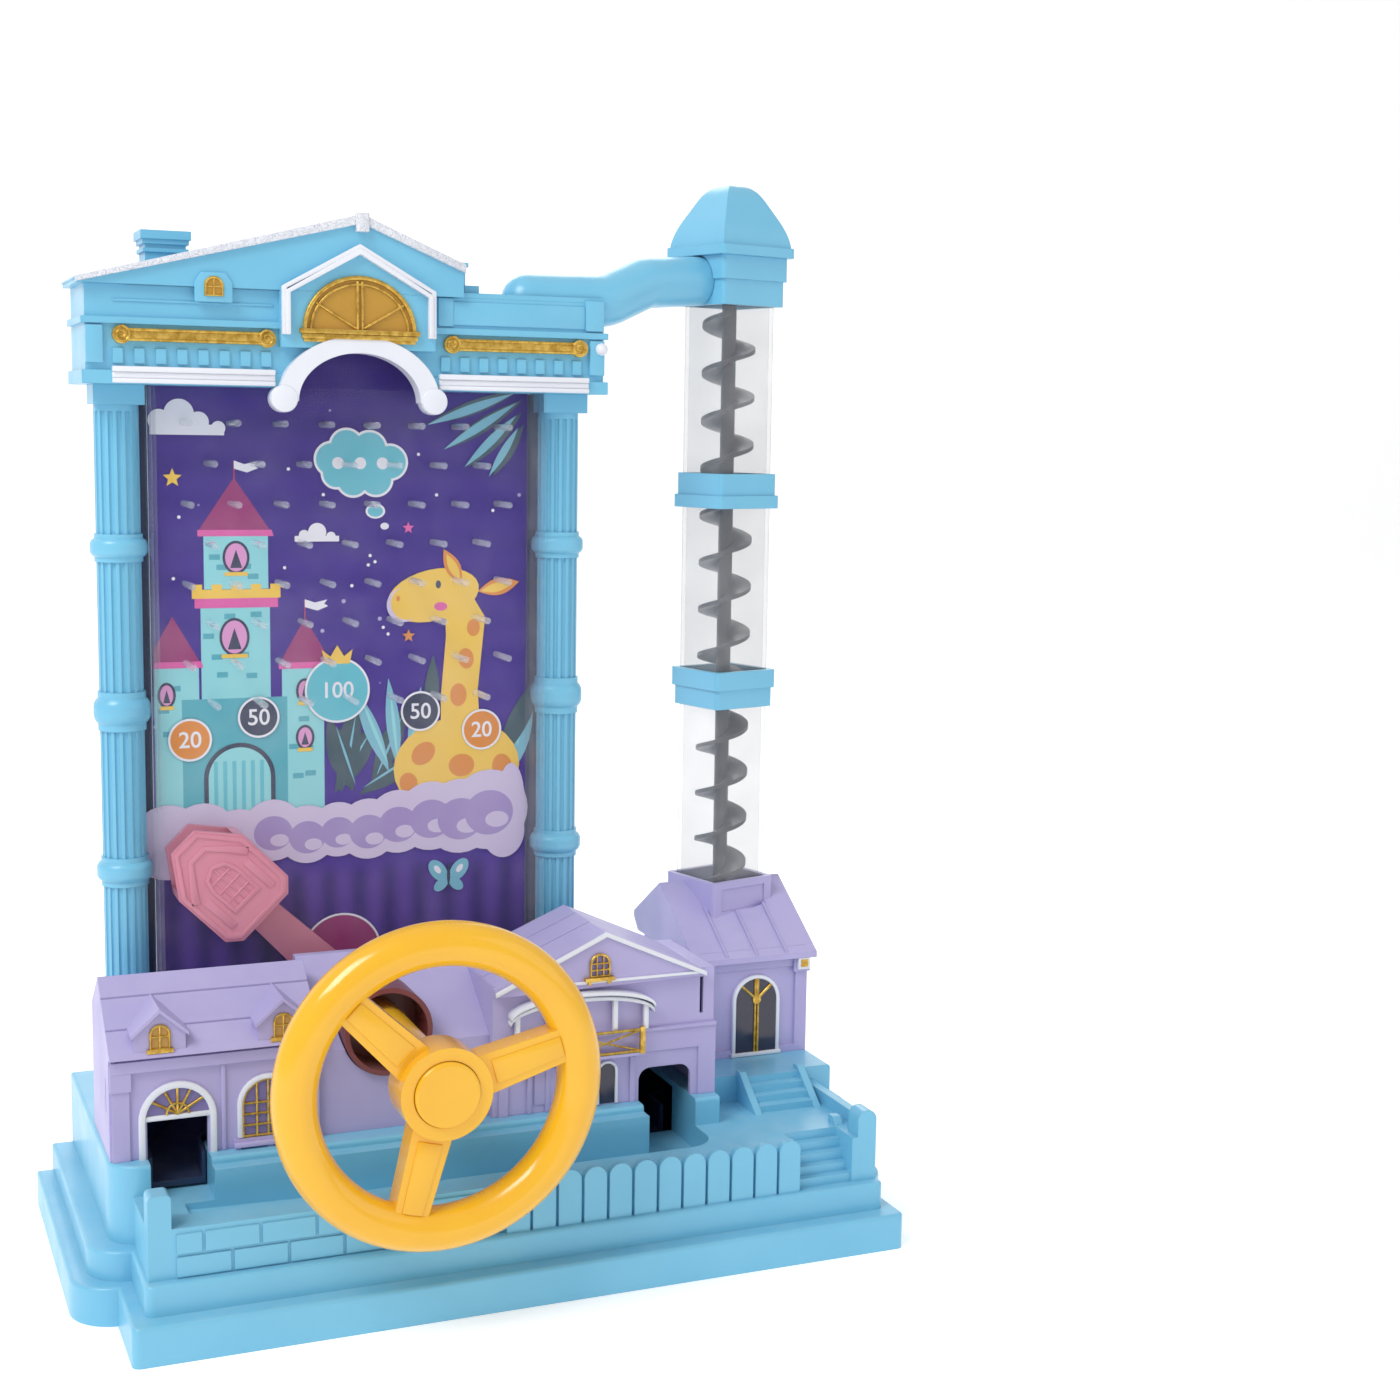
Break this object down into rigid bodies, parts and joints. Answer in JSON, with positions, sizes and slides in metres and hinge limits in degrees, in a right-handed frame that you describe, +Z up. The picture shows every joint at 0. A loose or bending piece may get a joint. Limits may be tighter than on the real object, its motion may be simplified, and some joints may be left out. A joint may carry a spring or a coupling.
{
  "type": "pachinko machine",
  "caption": "Table-top ball-catching toy: a motor screw lifts small balls, they fall through pins, and a wheel swings a catching cup.",
  "frame": {"origin": "on the underside of the base, halfway along its width and its depth", "axes": "+Z up, the player stands at -Y, +X to the player's right"},
  "size_m": [0.264, 0.1579, 0.341],
  "materials": {
    "light_blue": "satin moulded plastic",
    "lavender": "satin moulded plastic",
    "yellow": "glossy moulded plastic",
    "pink": "satin moulded plastic",
    "clear": "clear polished plastic",
    "printed_card": "printed card",
    "dark_grey": "satin moulded plastic",
    "navy": "satin moulded plastic",
    "red_brown": "satin moulded plastic",
    "white_nylon": "natural nylon",
    "steel": "bright steel",
    "white_trim": "satin moulded plastic",
    "gold_trim": "gold hot-stamped paint",
    "cell_jacket": "printed jacket"
  },
  "bodies": {
    "root": {"base_shell": "light_blue", "bottom_cover": "light_blue", "base_screws": "steel", "left_house": "lavender", "centre_fairing": "lavender", "mid_house": "lavender", "tower_house": "lavender", "recess_liner": "red_brown", "front_bush": "white_nylon", "rear_bush": "white_nylon", "left_column": "light_blue", "right_column": "light_blue", "rear_housing": "light_blue", "playfield_board": "light_blue", "playfield_card": "printed_card", "clear_cover": "clear", "playfield_pins": "clear", "cornice": "light_blue", "arch_trim": "white_trim", "gable_roof": "light_blue", "tube_lower": "clear", "tube_middle": "clear", "tube_upper": "clear", "collar_lower": "light_blue", "collar_upper": "light_blue", "lift_head": "light_blue", "dome_cap": "light_blue", "screw_top_bearing": "white_nylon", "transfer_pipe": "light_blue", "motor": "steel", "gear_pin": "steel", "drive_plate": "dark_grey", "screw_foot": "dark_grey", "return_chute": "navy", "ball_ramp": "navy", "exit_chute": "navy", "battery_box": "dark_grey", "battery_cells": "cell_jacket", "battery_contacts": "steel", "switch_body": "dark_grey"},
    "steering": {"steering_wheel": "yellow", "hub_cap": "yellow", "steering_barrel": "yellow", "steering_shaft": "steel", "wheel_screw": "steel", "catch_arm": "pink"},
    "screw": {"lifting_screw": "dark_grey", "screw_gear": "white_nylon"},
    "reduction": {"reduction_gear": "white_nylon"},
    "pinion": {"motor_pinion": "white_nylon", "motor_shaft": "steel"},
    "battery_door": {"battery_door": "light_blue"},
    "power_switch": {"power_switch": "dark_grey"}
  },
  "joints": [
    {"name": "steering_turn", "type": "hinge", "parent": "root", "child": "steering", "pos_m": [-0.0365, -0.08, 0.0748], "axis": [0, 1, 0], "range_deg": [0, 90]},
    {"name": "screw_turn", "type": "hinge", "parent": "root", "child": "screw", "pos_m": [0.0995, 0.0368, 0.1], "axis": [0, 0, 1], "continuous": true},
    {"name": "reduction_turn", "type": "hinge", "parent": "root", "child": "reduction", "pos_m": [0.07735, 0.0368, 0.01], "axis": [0, 0, 1], "continuous": true},
    {"name": "pinion_turn", "type": "hinge", "parent": "root", "child": "pinion", "pos_m": [0.0552, 0.0368, 0.012], "axis": [0, 0, 1], "continuous": true},
    {"name": "battery_door_pull", "type": "slide", "parent": "root", "child": "battery_door", "axis": [0, 1, 0], "range_m": [0, 0.012]},
    {"name": "power_slide", "type": "slide", "parent": "root", "child": "power_switch", "axis": [1, 0, 0], "range_m": [0, 0.004]}
  ],
  "couplings": [
    {"joint": "reduction_turn", "follows": "screw_turn", "ratio": -2.6667},
    {"joint": "pinion_turn", "follows": "screw_turn", "ratio": 9.0667}
  ]
}
